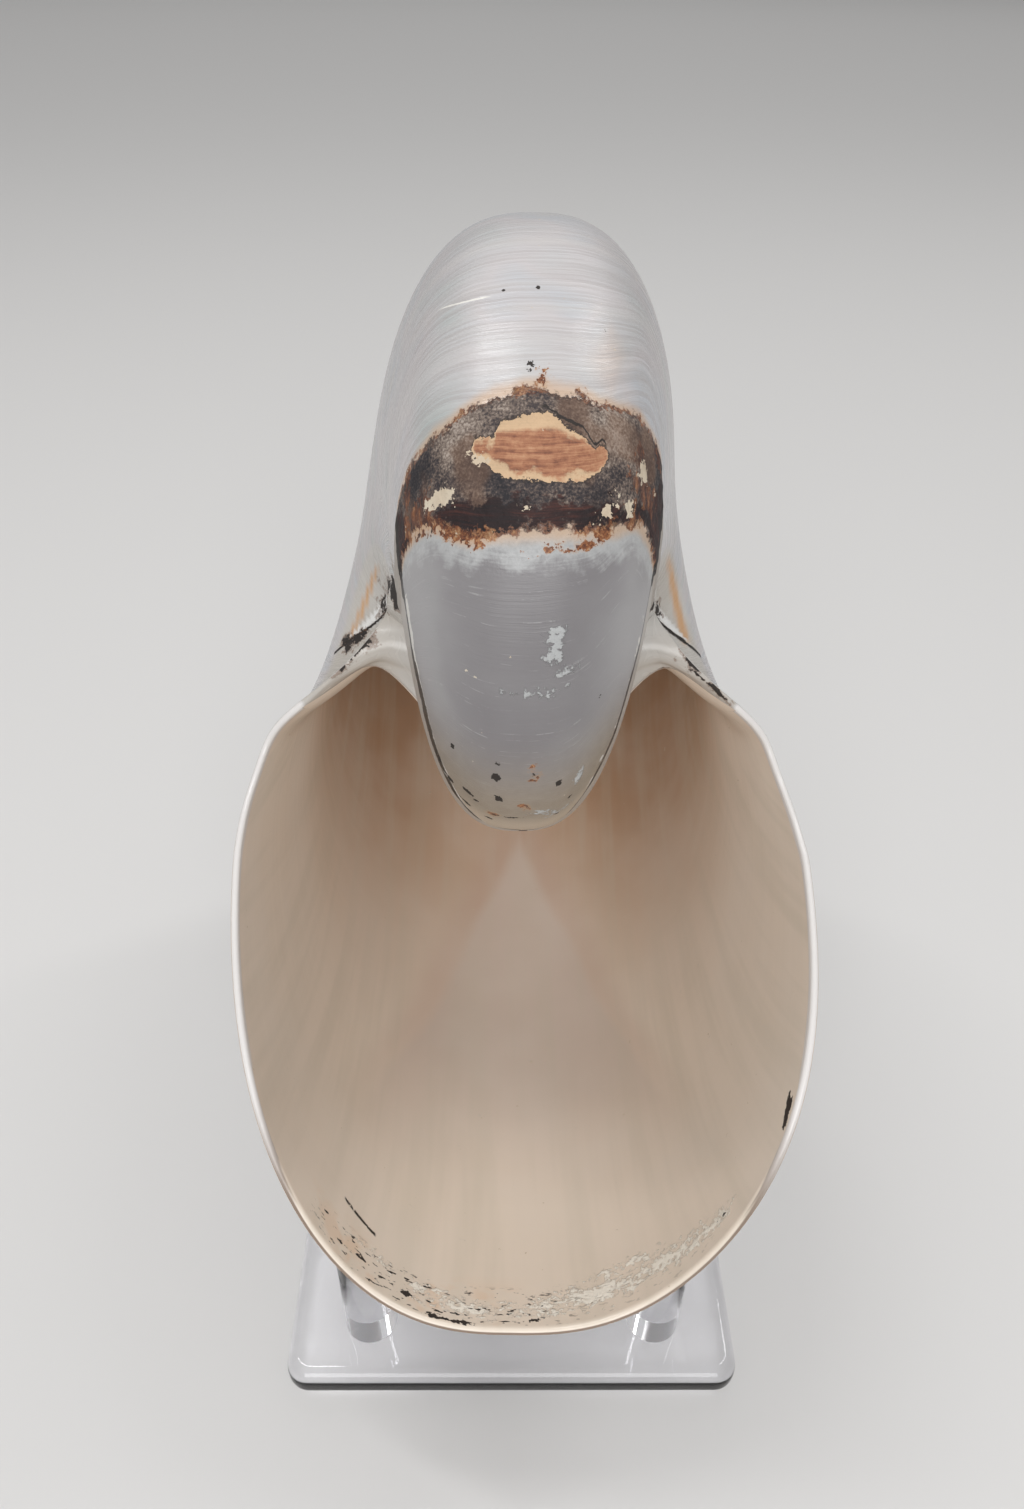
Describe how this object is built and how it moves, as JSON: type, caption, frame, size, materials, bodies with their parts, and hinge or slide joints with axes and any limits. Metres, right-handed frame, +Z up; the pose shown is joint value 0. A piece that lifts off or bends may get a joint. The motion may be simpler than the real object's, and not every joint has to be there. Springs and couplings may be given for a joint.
{
  "type": "chambered nautilus shell on a clear acrylic stand",
  "caption": "Large coiled nautilus shell, pearly and open at the front, held by its keel on short round pegs of a clear acrylic display plate.",
  "frame": {"origin": "centre of the stand plate's underside", "axes": "+Z up, the shell's aperture opens towards -Y, +X is to the right as the aperture is faced"},
  "size_m": [0.087, 0.1496, 0.1664],
  "materials": {
    "nacre": "polished mother of pearl, satin, with a matt stained band where the coil enters the aperture",
    "clear_acrylic": "clear, polished"
  },
  "bodies": {
    "root": {"shell": "nacre", "stand_plate": "clear_acrylic", "peg_front_left": "clear_acrylic", "peg_front_right": "clear_acrylic", "peg_back_left": "clear_acrylic", "peg_back_right": "clear_acrylic"}
  },
  "joints": []
}
